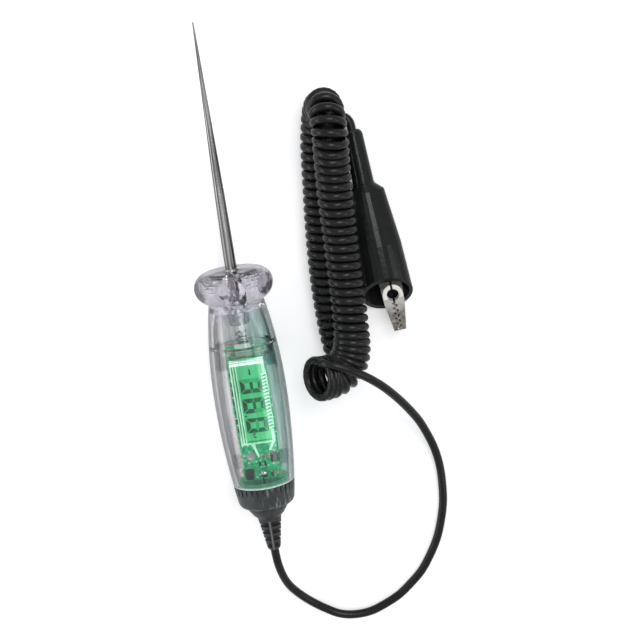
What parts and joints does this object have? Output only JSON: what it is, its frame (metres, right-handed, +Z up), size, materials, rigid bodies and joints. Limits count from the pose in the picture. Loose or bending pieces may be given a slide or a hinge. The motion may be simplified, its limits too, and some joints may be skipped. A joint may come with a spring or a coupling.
{
  "type": "digital circuit tester",
  "caption": "Hand-held circuit tester: steel probe in a clear guarded handle with a lit voltage display, and a coiled lead to a sprung clip in an insulating boot.",
  "frame": {"origin": "on the surface it lies on, below the middle of the tester's length and on its axis", "axes": "+Y along the handle towards the probe's point, +Z up through the display, +X towards the coiled lead"},
  "size_m": [0.1029, 0.2931, 0.0396],
  "materials": {
    "probe_steel": "turned and brushed",
    "insert_brass": "nickel-plated, worn to a dull gold",
    "clear_shell": "clear, polished",
    "cap_grey": "satin",
    "relief_black": "satin",
    "spring_steel": "drawn wire",
    "terminal_white": "plain",
    "board_green": "green solder resist",
    "panel_lit": "lit diffuser",
    "frame_white": "lit from inside",
    "display_glass": "lit liquid crystal glass",
    "segment_dark": "dark liquid crystal segments",
    "segment_ghost": "undriven liquid crystal segments",
    "pin_tin": "tinned",
    "lamp_pale": "clear lens",
    "chip_black": "moulded package",
    "capacitor_tan": "ceramic body",
    "cord_black": "satin flexible jacket",
    "boot_black": "glossy soft vinyl",
    "clip_steel": "nickel-plated folded sheet"
  },
  "bodies": {
    "tester": {"probe_needle": "probe_steel", "probe_insert": "insert_brass", "nose_shell": "clear_shell", "barrel_shell": "clear_shell", "end_cap": "cap_grey", "strain_relief": "relief_black", "contact_spring": "spring_steel", "spring_cup": "terminal_white", "circuit_board": "board_green", "display_panel": "panel_lit", "display_frame": "frame_white", "display_glass": "display_glass", "display_digits": "segment_dark", "display_ghosts": "segment_ghost", "display_pins": "pin_tin", "panel_legs": "frame_white", "indicator_leds": "lamp_pale", "controller_chip": "chip_black", "regulator_chip": "chip_black", "ring_capacitor": "pin_tin", "chip_resistors": "chip_black", "chip_capacitors": "capacitor_tan", "solder_joint": "pin_tin", "cord_tail": "cord_black", "cord_lead": "cord_black", "coiled_cord": "cord_black", "clip_lead": "cord_black", "clip_boot": "boot_black", "clip_wire": "cord_black", "clip_fixed_jaw": "clip_steel", "clip_pivot_pin": "clip_steel", "clip_spring": "spring_steel"},
    "clip_jaw": {"clip_moving_jaw": "clip_steel"}
  },
  "joints": [
    {"name": "clip_hinge", "type": "hinge", "parent": "tester", "child": "clip_jaw", "pos_m": [0.0702, 0.001, 0.0078], "axis": [-0.0031, 0.0383, 0.9993], "range_deg": [-20, 0], "stiffness_Nm_per_rad": 0.35, "springref_deg": 20.05, "deforming": ["clip_spring"]}
  ]
}
